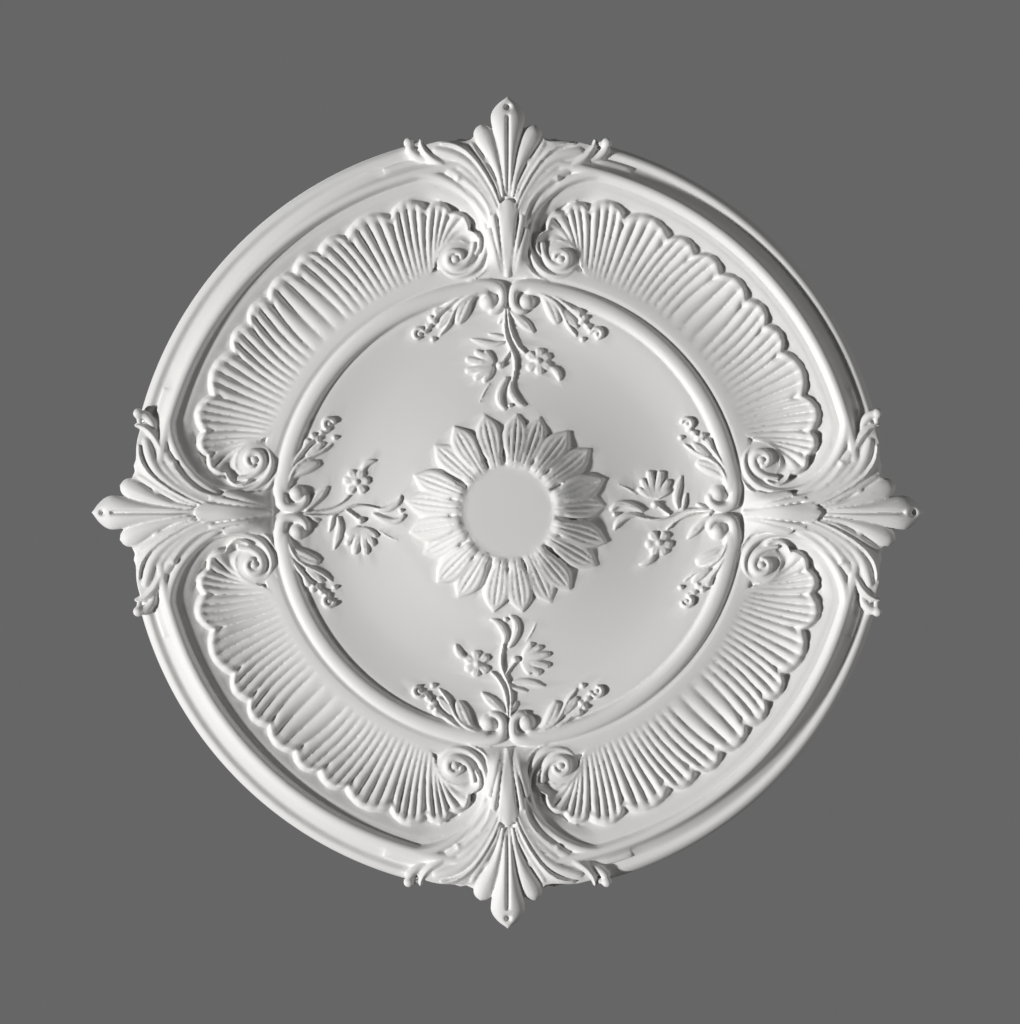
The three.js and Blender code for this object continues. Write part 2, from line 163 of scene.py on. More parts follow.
# Acanthus fingers on the right of a crest: path, half widths, crowns, depth of the edges
# below the crown, and the section.
FINGERS = [
    ([(5, 321), (8, 340), (11.4, 352), (15.4, 364), (20.6, 376), (25, 386), (28, 396)],
     [1.8, 3.2, 4.4, 6.6, 8.8, 10.4, 8], [37, 37, 36.6, 35.8, 34.4, 32, 27.5], 6.5, "broad"),
    ([(7.6, 318), (12, 333), (18.6, 345), (26, 357), (33, 368), (38.5, 379)],
     [1.6, 2.6, 3.6, 4.6, 4.8, 3.6], [36.5, 36, 35, 33.6, 31.6, 28], 6, "broad"),
    ([(14, 333), (22, 347.5), (32, 361), (42, 372), (48, 378)],
     [1.6, 3, 4.2, 4.4, 2.6], [34.5, 34, 32.6, 30.6, 28], 5, "broad"),
    ([(8, 312), (14, 327), (21.4, 341), (30, 354), (39.5, 365), (50, 372.4), (60, 375.6),
      (70, 376)], [1.8, 3, 3.8, 4.2, 4.4, 4.2, 3.8, 2.6],
     [38, 38, 37.6, 37, 36, 35, 33.6, 31.5], 6.5, "ridge"),
    ([(9.5, 305), (14.5, 318), (21.4, 331), (30, 344), (40, 355), (52, 362.6), (65, 366.8),
      (78, 370)], [2.2, 3.6, 4.6, 5.4, 5.8, 6, 6, 5],
     [37, 36.6, 36, 35.4, 34.8, 34, 32.8, 30.5], 5.5, "broad"),
    ([(12, 301), (17, 315), (25, 328.5), (35.5, 341), (46, 350), (56, 356.5)],
     [2.2, 4, 5.4, 6.2, 5.8, 3.6], [36, 35.6, 35, 34.2, 33.4, 31.6], 5, "broad"),
    ([(14, 298), (19.5, 312), (28, 324.6), (39, 335.5), (51, 344), (64, 351)],
     [2.2, 3.6, 4.8, 5.6, 6, 5.4], [35.8, 35.4, 34.8, 34, 33, 31.4], 5, "broad"),
    ([(16, 290), (18, 303), (23, 316), (31, 327), (41, 335.4), (51, 341)],
     [1.8, 2.2, 2.4, 2.6, 2.8, 3], [36.6, 36.2, 35.8, 35.2, 34.6, 33.6], 6, "ridge"),
    ([(58, 349.5), (68, 355), (77, 360.4), (84, 367), (88, 374), (89.5, 381.5)],
     [4.8, 5.6, 5.6, 5, 3.8, 1.6], [31.5, 32.5, 33, 32.5, 31, 28.5], 6, "ridge"),
    ([(84, 360), (92, 363.5), (98.5, 369), (101.5, 375.5)],
     [3, 4.4, 4.8, 4.6], [27, 28, 29, 30], 7, "round"),
]
# Knobs in the leaves, as centre, radius and top.
KNOBS = [((101, 376.8), 5.4, 31.5), ((50, 340.6), 3.4, 34.4), ((94, 376), 2.8, 28)]

# The hollow ground of a crest, as fan lines from its axis outwards: base, bend, tip, heights.
LEAF_LINES = [
    ((0, 312), (0, 366), (0, 421), (33, 33, 20)),
    ((2, 311), (13, 362), (15, 402), (33, 28.5, 24)),
    ((4, 310), (11, 352), (14, 388), (33, 27.5, 24)),
    ((6, 309), (14, 360), (28, 396), (33, 29.5, 24)),
    ((10, 306), (23, 349), (39, 380), (33, 30, 26.5)),
    ((12, 302), (33, 350), (70, 378.5), (33, 31, 28)),
    ((13, 299), (38, 343), (91, 372), (33, 31, 27)),
    ((14, 296), (38, 337), (88, 366), (32, 30, 26)),
    ((15, 293), (38, 333), (80, 359), (32, 30, 26.5)),
    ((16, 290), (37, 327), (61, 350), (32, 31, 27.5)),
    ((17, 287), (34, 320), (64, 344), (31, 30, 26.5)),
]

# The calyx under the leaves, as fan lines that run up from its stem to its lobes.
CALYX_LINES = [
    ((0, 240), (0, 280), (0, 318.5), (24, 38.8, 38.6)),
    ((1.6, 240), (3.4, 276), (6.4, 315), (23.4, 38.2, 37.6)),
    ((3, 240), (5.4, 272), (9.6, 308), (21, 36.4, 37)),
    ((3.4, 240), (6, 270), (10, 300.5), (20, 32.8, 31)),
    ((4, 240), (8, 270), (13.6, 303), (20.6, 36.4, 36.8)),
    ((4.6, 240), (10, 268), (17.4, 299), (20.6, 35.6, 35.4)),
    ((5.2, 240), (10.4, 265), (14.8, 290.5), (20, 30.6, 29.6)),
    ((6, 240), (11.4, 263), (18, 290.5), (20.6, 34.4, 34.6)),
    ((7.4, 240), (13.6, 260), (21.8, 286), (20.6, 33, 33.4)),
    ((11, 240), (15, 256), (20.6, 274), (20.6, 29.4, 31)),
    ((17, 240), (17, 249), (20, 263), (20.6, 26, 28.4)),
    ((26, 239.5), (20, 246), (22, 255), (20.6, 24, 26)),
]

# The roll that curls in from the shell's lip to the eye of the volute.
VOLUTE_ROLL = ([(34.6, 276), (36.6, 264.5), (43, 254.6), (52.5, 250.2), (60.4, 254), (61.2, 261.8),
                (54.8, 266.6), (48, 263.2), (47.6, 257)],
               [2.4, 3, 3.6, 4, 4.2, 4, 3.6, 2.8, 2.2],
               [25.5, 25.5, 26, 26.5, 27, 27.3, 27.6, 27.6, 27], 5.5, "round")
# The fine ridge round the volute, on the side of the crest's axis.
VOLUTE_RIDGE = ([(21, 283), (18.4, 271), (18.6, 258), (23.4, 247), (32, 240.5), (41, 237)],
                [1.4, 1.6, 1.8, 1.8, 1.6, 1.2], [29, 28.5, 27.6, 26, 24, 22], 4, "ridge")
# The eye of the volute and the dome under it, as centre, radius, top and base.
VOLUTE_BEADS = [((53.6, 258.6), 3.8, 28), ((52, 257.5), 23, 24.2, 16)]

# The end of the inner ring, and the ball eye that it curls round.
RING_CURL = ([(38, 229.6), (28, 231.6), (17, 231.8), (8, 229), (4.8, 221), (6, 212.5), (12, 206.6),
              (20, 206)],
             [8.2, 7.6, 6.8, 6, 5, 4.8, 4.4, 3.2],
             [25.6, 26, 26.6, 27, 27, 26.8, 26, 24.5], 8, "round")
RING_EYES = [((19.5, 215), 9.8, 28, 15)]
# The gap in the turned ring at a crest: half its width, how softly it starts, the radii between
# which it lies, and the height of its ground.
RING_GAP = 22
RING_GAP_EDGE = 6
RING_INSIDE = 219
RING_OUTSIDE = 243
RING_GROUND = 19

# The dished field: the radii of its foot in the middle, of its lowest place and of its outer
# edge, the height of the lowest place, how far it rises inwards and outwards from there, and the
# step of its profile.
FIELD_FOOT = 104
FIELD_DIP = 178
FIELD_EDGE = 220
FIELD_LOW = 17
FIELD_RISE = 8.6
FIELD_LIFT = 3.6
FIELD_STEP = 6

# Low relief on the dished field, with heights above it: path, half widths, relief, section.
SPRIG = [
    ([(27, 224.5), (38, 221), (47, 215.5), (54, 207), (58, 198.5), (62.5, 190), (71, 179)],
     [2, 3.2, 3.4, 2.8, 2.4, 2.6, 1], [4, 6, 6, 5.5, 5, 4.5, 2.5], "ridge"),
    ([(35, 221), (41.5, 214.5), (46.5, 205), (51.5, 192)],
     [2.4, 6, 6.4, 3.4], [4, 5.5, 5.5, 4], "vein"),
    ([(44, 222), (56, 215), (65, 208), (73, 200.5), (80, 191), (86, 184)],
     [2, 3, 3.2, 2.8, 2.4, 2], [4.5, 5.5, 5, 5, 4.5, 4.5], "ridge"),
    ([(58, 206), (64, 197.5), (72, 188)], [1.8, 4.4, 1.8], [4, 4.5, 3.5], "vein"),
    ([(61, 211), (67, 207), (76, 205.5)], [1.4, 3, 2], [4, 5, 4], "broad"),
    ([(86, 184.5), (88.5, 187.8), (93.5, 187), (96, 182.5), (93.5, 178.2), (89.5, 178)],
     [1.8, 2, 2, 2, 1.8, 1.4], [4.5, 5.5, 5.5, 5.5, 5, 4.5], "round"),
]
# Beads on the field, as centre, radius and height above it.
SPRIG_BEADS = [((73, 204), 3.3, 5.5), ((78.5, 199), 3.1, 5.5), ((75, 194.5), 2.8, 4.5),
               ((81.5, 190), 3, 5), ((84.5, 185), 2.6, 4.5), ((90.5, 182.5), 2.6, 5),
               ((76.5, 177), 2.6, 4)]
SPRAY = [
    ([(-2.5, 209), (-3.4, 195), (-3, 185), (-0.5, 175), (4, 165), (7, 155), (6.6, 144),
      (4, 132), (1.5, 124)], [1.6, 1.8, 1.8, 1.7, 1.7, 1.7, 1.6, 1.5, 1.2],
     [5, 5.2, 5.2, 5, 5, 5, 4.6, 4.4, 3.5], "ridge"),
    ([(0, 208), (1, 195), (4, 182), (10, 170.5), (18, 162)],
     [1.4, 1.5, 1.5, 1.5, 1.4], [5, 5, 5, 4.6, 4.2], "ridge"),
    ([(2, 165), (-2.4, 158.5), (-8, 151.5)], [1.3, 1.5, 2.4], [4.6, 4.8, 5], "ridge"),
    ([(-1, 138), (-6, 129), (-9, 119), (-7.6, 110.5), (-1.5, 104.5)],
     [1.4, 2.8, 3.4, 3, 1.8], [4.5, 5, 5, 4.6, 3.5], "vein"),
    ([(3, 133), (3, 124), (7, 116), (12, 111), (18.5, 108.5)],
     [1.4, 3, 3.4, 2.8, 1], [4.5, 5, 5, 4.6, 3], "vein"),
    ([(2, 206), (9, 200), (17, 193), (27.5, 183)],
     [1.2, 4, 4.6, 0.6], [4, 4.6, 4.5, 3], "vein"),
    ([(-3, 204), (-6, 199), (-9.5, 192)], [1, 2.4, 0.8], [3.5, 4, 3], "vein"),
    ([(-4, 174), (-14, 172), (-26, 174), (-39, 178)],
     [1.2, 3.2, 3.4, 0.6], [4, 4.4, 4, 2.6], "vein"),
    ([(-2, 177), (-6, 179.5), (-13, 181), (-21, 183)], [1, 2.2, 2, 0.6], [4, 4.2, 3.6, 2.4],
     "vein"),
    ([(41, 149), (47.5, 146.5), (51.5, 141), (53.5, 133.5)],
     [1.4, 3, 3, 0.8], [4, 4.8, 4.4, 3], "vein"),
    ([(-19, 131), (-24.5, 122), (-29, 112)], [0.8, 1.6, 0.8], [2, 2.2, 1.6], "ridge"),
]
SPRAY_BEADS = [((2, 109), 2.2, 4.5), ((-8, 150.5), 3.6, 6), ((31, 154.5), 4.2, 6.6)]
# Flowers, as the base, direction, length and half width of each petal.
BLOOM_PETALS = [((31, 154.5), turn, 14.5, 4.7) for turn in (-52, 10, 62, 118, 172, 232)]
BLOOM_PETALS += [((-12, 148.5), -118, 26, 3.5), ((-11, 149.5), -99, 33, 3.9),
                 ((-11, 150.5), -79, 33, 3.9), ((-11, 151.5), -59, 27, 3.6),
                 ((-14, 146.5), -140, 18, 2.8), ((-13, 153), -40, 17, 2.6)]

# Petals of the sunflower, as angle and radius of the tip.
PETALS = [(-172, 102.6), (-150.8, 100.8), (-134.4, 101.3), (-115, 96), (-102, 102),
          (-84.4, 105.5), (-67.5, 103), (-46.5, 101.4), (-33, 103.5), (-14, 103), (6.5, 100.7),
          (18.8, 103), (35.5, 103.5), (52.4, 106), (72, 104), (85.5, 100.4), (105.8, 105),
          (121.5, 106), (141.8, 101), (153.6, 102), (170.9, 102.6)]
# The radius at which petals start, then half their width and their crown, from there to the tip.
PETAL_START = 45.6
PETAL_HALVES = [6.8, 7.8, 9, 10.4, 11.8, 12.8, 12.9, 11, 6.6, 0.5]
PETAL_CROWNS = [46.4, 49.4, 48.2, 45.6, 42.4, 39.2, 36.2, 33.4, 30.8, 28.6]
# How far a petal's middle stands above its edges, how far its tip leans aside at most, how much
# lower every second petal lies, and the depth and radius of the pits between petals.
PETAL_RISE = 3.6
PETAL_LEAN = 2.2
PETAL_LOW = 1.3
PETAL_PIT = 3.4
PETAL_PIT_RADIUS = 57

# The body reaches past the ceiling, where it is cut off once it is fused.
UNDERSIDE = -4
# Profile of the round body as radius and height: the wall and the roll of the rim, the cove, the
# border and its fillets, the ground under the shells, and the ring.
BODY_PROFILE = [
    (389.6, UNDERSIDE), (389.6, 9), (389.2, 12), (388.2, 14.4), (386.8, 16.6), (385.2, 18.2),
    (383.2, 19.4), (381.6, 19.9), (380, 19.7), (378.4, 19),
    (376.6, 18.4), (374.6, 18.6), (372.4, 19.8), (370, 21.2), (368, 22.5), (366.2, 24),
    (364.8, 25.6), (364.2, 27), (363.2, 28.2), (362.2, 30), (361, 31.3), (359.6, 31.9),
    (357.6, 32.1), (355.8, 31.8), (354.6, 30.9), (353.4, 29.4), (352.4, 27.4), (351.6, 25.6),
    (350.8, 24.6), (349.8, 24.4), (348.8, 24.9), (347.8, 24.7), (347, 23.7), (346.2, 24),
    (344.6, 23.9), (341, 23), (337.5, 21.6), (333, 20), (326, 18), (312, 15.5), (290, 14),
    (262, 13.4), (259, 14), (257, 20.4), (252, 21.4), (247, 21.8), (244.6, 21.9),
    (243.2, 21.5), (241.8, 20.9), (240.2, 20.6), (239.4, 21), (238.6, 22.4), (237.4, 24),
    (236, 25), (234.4, 25.7), (232.4, 26.2), (230.2, 26.4), (228, 26.2), (226.4, 25.7),
    (225, 24.9), (224, 23.8), (223, 21.8), (222.2, 20), (221.2, 19.8), (220, 20.2),
]
# The mound under the petals, up to the flat disc.
DISC_HEIGHT = 46
MOUND_PROFILE = [
    (104, 25.6), (96, 26.4), (86, 28), (76, 30.4), (66, 34), (58, 38), (52, 42.4), (48, 46),
    (46.4, 46.4), (45.4, 45.5), (44.4, 45.8), (40, DISC_HEIGHT),
]
# Beside a crest's leaves the rim falls away, and its edge is drawn in and frilled: the angle up
# to which it does, and the angle over which it starts.
LEAF_ANGLE = 15
LEAF_ANGLE_EDGE = 2.5
# How far it falls, from which radius and how much further out in full, and its least height.
RIM_FALL = 11
RIM_FALL_RADIUS = 377
RIM_FALL_EDGE = 9
RIM_LEAST = 3
# How far it is drawn in, the depth of the frill, its waves in a full turn, and where that starts.
RIM_DRAW = 3
RIM_FRILL = 1.1
FRILL_WAVES = 170
RIM_DRAW_RADIUS = 379
RIM_DRAW_EDGE = 7


# Plan geometry


def place(points):
    """Points shaped face up in millimetres, turned face down in metres."""
    return np.asarray(points, float) * (MM, -MM, -MM)


def polar(angle, radius):
    """The plan point at an angle from the crest's axis, positive to its right, and a radius."""
    angle = np.radians(angle)
    return np.stack([radius * np.sin(angle), radius * np.cos(angle)], axis=-1)


def smooth(values, at):
    """A smooth curve through evenly spaced values, or points, read at places from 0 to 1."""
    values = np.asarray(values, float)
    single = values.ndim == 1
    if single:
        values = values[:, None]
    last = len(values) - 1
    ends = [2 * values[0] - values[1], 2 * values[-1] - values[-2]]
    ring = np.vstack([ends[:1], values, ends[1:]])
    spot = np.clip(at, 0, 1) * last
    k = np.minimum(spot.astype(int), last - 1)
    f = (spot - k)[:, None]
    a, b, c, d = ring[k], ring[k + 1], ring[k + 2], ring[k + 3]
    out = 0.5 * (2 * b + (c - a) * f + (2 * a - 5 * b + 4 * c - d) * f**2
                 + (3 * b - a - 3 * c + d) * f**3)
    return out[:, 0] if single else out


def even_path(points, spacing):
    """Points at an even spacing along a smooth curve, and the curve's length."""
    dense = smooth(points, np.linspace(0, 1, 24 * len(points)))
    reach = np.concatenate([[0], np.cumsum(np.hypot(*np.diff(dense, axis=0).T))])
    at = np.linspace(0, reach[-1], max(7, int(reach[-1] / spacing) + 1))
    return np.column_stack([np.interp(at, reach, dense[:, i]) for i in (0, 1)]), reach[-1]


def field_height(radius):
    """Projection of the dished central field at a radius."""
    radius = np.asarray(radius, float)
    rise = np.clip((FIELD_DIP - radius) / (FIELD_DIP - FIELD_FOOT), 0, None)
    lift = np.clip((radius - FIELD_DIP) / (FIELD_EDGE - FIELD_DIP), 0, None)
    return np.where(radius > FIELD_DIP, FIELD_LOW + FIELD_LIFT * lift**1.6,
                    FIELD_LOW + FIELD_RISE * rise**1.7)


# Carved sheets


SECTIONS = {
    "round": lambda u: np.sqrt(np.clip(1 - np.abs(u) ** 2.2, 0, 1)),
    "ridge": lambda u: 1 - np.abs(u) ** 1.25,
    "broad": lambda u: np.sqrt(np.clip(1 - np.abs(u) ** 3.4, 0, 1)) - 0.3 * np.abs(u),
    "vein": lambda u: np.sqrt(np.clip(1 - u**2, 0, 1)) - 0.38 * np.exp(-((u / 0.2) ** 2)),
}


def stroke(path, halves, crowns, depth, section):
    """The top of a carved stroke: points across its section, at steps along its path."""
    line, length = even_path(path, SPACING)
    t = np.linspace(0, 1, len(line))
    run = np.gradient(line, axis=0)
    run /= np.hypot(*run.T)[:, None]
    side = np.column_stack([run[:, 1], -run[:, 0]])
    half = np.maximum(smooth(halves, t), THINNEST)
    crown = smooth(crowns, t)
    left = np.clip((1 - t) * length / max(halves[-1], LEAST_BLUNT), 0, 1)
    full = np.sqrt(np.clip(1 - (1 - left) ** 2, 0.004, 1))
    u = np.sin(np.linspace(-math.pi / 2, math.pi / 2, ACROSS))
    rise = SECTIONS[section](u)
    plan = line[None] + (u[:, None] * (half * full)[None])[..., None] * side[None]
    height = (crown - depth)[None] + depth * rise[:, None] * full[None]
    return np.dstack([plan, height])


def low_stroke(path, halves, reliefs, section):
    """A carved stroke in low relief on the dished field."""
    line, _ = even_path(path, SPACING)
    ground = field_height(np.hypot(*line.T))
    crowns = ground + smooth(reliefs, np.linspace(0, 1, len(line)))
    return stroke(path, halves, crowns, LOW_DEPTH, section)


def bloom_petal(base, turn, length, half):
    """A petal of a flower in the spray."""
    path = [np.array(base) + polar(turn, length * share) for share in (0.12, 0.4, 0.7, 1)]
    halves = [half * 0.35, half * 0.8, half, half * 0.7]
    return low_stroke(path, halves, [3.4, 4.6, 4.8, 4.2], "vein")


def fan(lines, across, along):
    """A smooth sheet through fan lines that each bend from a base to a tip."""
    reach = np.linspace(0, 1, along)[:, None]
    rows = []
    for base, bend, tip, heights in lines:
        a, b, c = (np.array(point, float) for point in (base, bend, tip))
        plan = a * (1 - reach) ** 2 + 2 * b * reach * (1 - reach) + c * reach**2
        rows.append(np.column_stack([plan, smooth(heights, reach[:, 0])]))
    rows = np.array(rows)
    spots = np.linspace(0, 1, across)
    return np.stack([smooth(rows[:, j], spots) for j in range(along)], axis=1)


def other_side(sheet):
    """A sheet mirrored about the crest's axis."""
    return np.asarray(sheet) * (-1, 1, 1)


def flute_foot(angle):
    """The foot of a flute's line and its first direction, for the angle of its seam."""
    feet = np.array(SHELL_FEET)
    if angle >= feet[0, 0]:
        return polar(angle, SHELL_FOOT), polar(angle, 1)
    spot = np.interp(-angle, -feet[:, 0], np.linspace(0, 1, len(feet)))
    x, y, turn = smooth(feet[:, 1:], np.array([spot]))[0]
    return np.array([x, y]), polar(turn, 1)


def scallop_lines():
    """Foot, first direction and edge of the flutes' lines, with their phase and distance from
    the nearest notch, from the middle."""
    lines = []
    (angle, radius), seam, _, _ = SCALLOPS[0]
    before = ((2 * SHELL_MIDDLE - angle, radius), 2 * SHELL_MIDDLE - seam)
    for number, (notch, seam, bulge, flutes) in enumerate(SCALLOPS):
        count = flutes * (2 if number == 0 else 1)
        steps = int(count * FLUTE_STEPS)
        start = steps // 2 if number == 0 else 1
        a, b = polar(*before[0]), polar(*notch)
        for k in range(start, steps + 1):
            t = k / steps
            foot, out = flute_foot(before[1] + (seam - before[1]) * t)
            chord = b - a
            swell = bulge * math.sin(math.pi * t) ** 0.7 / np.hypot(*chord)
            edge = a + chord * t + np.array([chord[1], -chord[0]]) * swell
            lines.append((foot, out, edge, t * count, min(t, 1 - t) if k < steps else 0))
        before = (notch, seam)
    return lines


def shell_sheet():
    """The fluted, scalloped shell of a panel, with a lip rolled over its edge."""
    v = np.linspace(0, 1, SHEET_ALONG)
    level = smooth(SHELL_LEVELS, v)
    depth = smooth(SHELL_DEPTHS, v)
    hollow = np.exp(-((v - NOTCH_PLACE) / 0.07) ** 2)
    half = []
    for foot, out, edge, phase, notch in scallop_lines():
        reach = np.hypot(*(edge - foot))
        bend = foot + out * reach * 0.5
        plan = (foot * (1 - v[:, None]) ** 2 + 2 * bend * (v * (1 - v))[:, None]
                + edge * v[:, None] ** 2)
        swell = abs(math.sin(math.pi * phase)) ** 0.7 - 0.64
        dip = hollow * NOTCH_DIP * math.exp(-(notch / 0.09) ** 2) + 1.1 * hollow
        short = min(1, reach / FULL_FLUTE)
        raised = 1.6 * (1 - short) * v**2
        half.append(np.column_stack([plan, level + raised + short * depth * swell
                                     - dip * short]))
    half = np.array(half)
    return np.concatenate([half[::-1], half[1:][:, :, [1, 0, 2]]])


def border_sheet():
    """The end of the border, swept beside a crest and round its volute, ever narrower."""
    dense, _ = even_path(BORDER_END, BORDER_SPACING)
    t = np.linspace(0, 1, len(dense))
    widths, crowns = smooth(BORDER_WIDTHS, t), smooth(BORDER_CROWNS, t)
    run = np.gradient(dense, axis=0)
    run /= np.hypot(*run.T)[:, None]
    inside = np.column_stack([-run[:, 1], run[:, 0]])
    rows = []
    for distance, drop in BORDER_PROFILE:
        plan = dense + inside * (distance * widths)[:, None]
        rows.append(np.column_stack([plan, crowns + drop * (0.6 + 0.4 * widths)]))
    return np.array(rows)


def saddle_sheet():
    """The ground of a crest between the ends of the border on its two sides."""
    t = np.linspace(0, 1, SHEET_ALONG)
    edge = smooth(SADDLE_EDGE, t)
    heights = smooth(SADDLE_HEIGHTS, t)
    swells = smooth(SADDLE_SWELLS, t)
    rows = []
    for side in np.linspace(-1, 1, SHEET_ACROSS):
        height = heights + swells * (1 - side**2) ** 2
        rows.append(np.column_stack([edge[:, 0] * side, edge[:, 1], height]))
    return np.array(rows)


def spear_sheet():
    """The middle leaf of a crest: two swelling halves beside a groove that ends in a pit."""
    radii, halves, crowns = np.array(SPEAR, float).T
    r = np.arange(radii[0], radii[-1] + 0.01, 1)
    half, crown = np.interp(r, radii, halves), np.interp(r, radii, crowns)
    half = np.convolve(np.pad(half, 2, "edge"), np.ones(5) / 5, "valid")
    half[-1] = THINNEST
    u = np.linspace(-1, 1, SHEET_ACROSS)[:, None]
    swell = (1 - np.abs(u) ** 2.6) ** 0.8
    groove = GROOVE_DEPTH * np.exp(-((u * half / 1.9) ** 2)) * np.clip((GROOVE_END - r) / 3, 0, 1)
    pit = PIT_DEPTH * np.exp(-((u * half / 2.8) ** 2) - ((r - PIT_RADIUS) / 2.8) ** 2)
    height = crown - SPEAR_RISE + SPEAR_RISE * swell - groove - pit
    return np.dstack([u * half, r + 0 * u, height])


def both_halves(lines):
    """Fan lines from the left edge over a crest's axis to the right edge."""
    left = [tuple((-x, y) for x, y in line[:3]) + (line[3],) for line in lines[:0:-1]]
    return left + lines


def petal_sheet(angle, tip, number):
    """A broad pointed petal of the sunflower, creased by three fine lines along it."""
    lean = PETAL_LEAN * math.sin(number * 1.7)
    low = PETAL_LOW * (number % 2)
    t = np.linspace(0, 1, PETAL_ALONG)
    radius = PETAL_START + (tip - PETAL_START) * t
    half = smooth(PETAL_HALVES, t)
    crown = smooth(PETAL_CROWNS, t) - low * np.clip(t / 0.15, 0, 1)
    u = np.linspace(-1, 1, SHEET_ACROSS)[:, None]
    lines = (0.62 * np.exp(-((u / 0.1) ** 2))
             + 0.46 * np.exp(-(((np.abs(u) - 0.46) / 0.09) ** 2)) * np.sin(math.pi * t) ** 0.5)
    rise = 1 - 0.25 * u**2 - 0.75 * np.abs(u) ** 7 - lines * np.clip((1 - t) * 6, 0, 1)
    aside = ((np.abs(u) - 1) * half / 2.2) ** 2
    pit = PETAL_PIT * np.exp(-aside - ((radius - PETAL_PIT_RADIUS) / 3) ** 2)
    height = crown - PETAL_RISE + PETAL_RISE * rise - pit
    across = u * half + lean * t**2
    along = radius + 0 * u
    turn = math.radians(angle)
    x = across * math.cos(turn) + along * math.sin(turn)
    y = -across * math.sin(turn) + along * math.cos(turn)
    return np.dstack([x, y, height])


def body_profile():
    """Profile of the round body, from the wall of its rim to the middle."""
    radii = range(FIELD_EDGE - 4, FIELD_FOOT, -FIELD_STEP)
    field = [(radius, float(field_height(radius))) for radius in radii]
    return BODY_PROFILE + field + MOUND_PROFILE


def opened_ring(height, radius, off):
    """Heights of the body, with the ring opened at each crest."""
    gap = np.clip((RING_GAP - off) / RING_GAP_EDGE, 0, 1)
    gap = gap * ((radius > RING_INSIDE) & (radius < RING_OUTSIDE))
    return height - np.clip(height - RING_GROUND, 0, None) * gap


def fallen_rim(height, radius, near):
    """Heights of the body, with the rim falling away where the leaves of a crest are near."""
    fall = RIM_FALL * near * np.clip((radius - RIM_FALL_RADIUS) / RIM_FALL_EDGE, 0, 1)
    return np.where(height > RIM_LEAST, np.maximum(height - fall, RIM_LEAST), height)


def frilled_rim(radius, beside, near):
    """How far the rim is drawn in beside the leaves of a crest."""
    frill = RIM_DRAW + RIM_FRILL * np.cos(np.radians(beside * FRILL_WAVES))
    return frill * near * np.clip((radius - RIM_DRAW_RADIUS) / RIM_DRAW_EDGE, 0, 1)


# Modelling

# The pieces of one quarter's ornament, in the order in which they are joined.
ORNAMENT = ("shell", "border_ends", "crest", "ring_ends", "sprays")
# The share by which each pass of softening moves a point.
SOFTEN_SHARE = 0.5
# Points this near to the ceiling, in millimetres, are set on it.
EDGE_REACH = 0.6
# Edges sharper than this angle stay sharp.
SHARP_ANGLE = math.radians(50)


def deselect():
    """Leaves nothing selected."""
    if bpy.context.object and bpy.context.object.mode != "OBJECT":
        bpy.ops.object.mode_set(mode="OBJECT")
    bpy.ops.object.select_all(action="DESELECT")


def activate(obj):
    """Makes an object the only one selected, and active."""
    deselect()
    obj.select_set(True)
    bpy.context.view_layer.objects.active = obj


def join(name, pieces):
    """Joins pieces into one object with a name."""
    deselect()
    for piece in pieces:
        piece.select_set(True)
    bpy.context.view_layer.objects.active = pieces[0]
    if len(pieces) > 1:
        bpy.ops.object.join()
    whole = bpy.context.object
    whole.name = whole.data.name = name
    return whole


def block(sheet, floor=FLOOR):
    """A closed block: a grid shaped to a carved sheet, then extruded down to a floor."""
    sheet = np.asarray(sheet, float)
    rows, columns = sheet.shape[:2]
    deselect()
    bpy.ops.mesh.primitive_grid_add(x_subdivisions=columns - 1, y_subdivisions=rows - 1, size=1)
    obj = bpy.context.object
    flat = np.empty(len(obj.data.vertices) * 3)
    obj.data.vertices.foreach_get("co", flat)
    flat = flat.reshape(-1, 3)
    column = np.rint((flat[:, 0] + 0.5) * (columns - 1)).astype(int)
    row = np.rint((flat[:, 1] + 0.5) * (rows - 1)).astype(int)
    obj.data.vertices.foreach_set("co", place(sheet)[row, column].ravel())
    obj.data.update()
    bpy.ops.object.mode_set(mode="EDIT")
    bpy.ops.mesh.select_all(action="SELECT")
    bpy.ops.mesh.extrude_region_move(TRANSFORM_OT_translate={"value": (0, 0, MM)})
    bpy.ops.transform.resize(value=(1, 1, 0), center_override=(0, 0, -floor * MM))
    bpy.ops.mesh.select_all(action="SELECT")
    bpy.ops.mesh.normals_make_consistent(inside=False)
    bpy.ops.object.mode_set(mode="OBJECT")
    return obj


def bead(centre, radius, top, base=None):
    """A round bead or knob, sunk half into the ground."""
    base = top - radius if base is None else base
    deselect()
    bpy.ops.mesh.primitive_uv_sphere_add(segments=20, ring_count=12, radius=radius * MM)
    obj = bpy.context.object
    obj.scale.z = (top - base) / radius
    obj.location = place((*centre, base))
    bpy.ops.object.transform_apply(location=True, rotation=True, scale=True)
    return obj


def both_sides(sheets, floor=FLOOR):
    """Blocks of sheets on the right of a crest's axis, and of their mirror images."""
    pieces = []
    for sheet in sheets:
        pieces += [block(sheet, floor), block(other_side(sheet), floor)]
    return pieces


def side_beads(beads):
    """Beads on the right of a crest's axis, and their mirror images."""
    return [bead((side * x, y), *shape) for (x, y), *shape in beads for side in (1, -1)]


def low_bead(centre, radius, relief):
    """A bead in low relief on the dished field."""
    ground = float(field_height(np.hypot(*centre)))
    return bead(centre, radius, ground + relief, ground)


def apply_modifier(obj, name, kind, **settings):
    """Gives an object a modifier with its settings, and applies it."""
    modifier = obj.modifiers.new(name, kind)
    for key, value in settings.items():
        setattr(modifier, key, value)
    bpy.ops.object.modifier_apply(modifier=modifier.name)


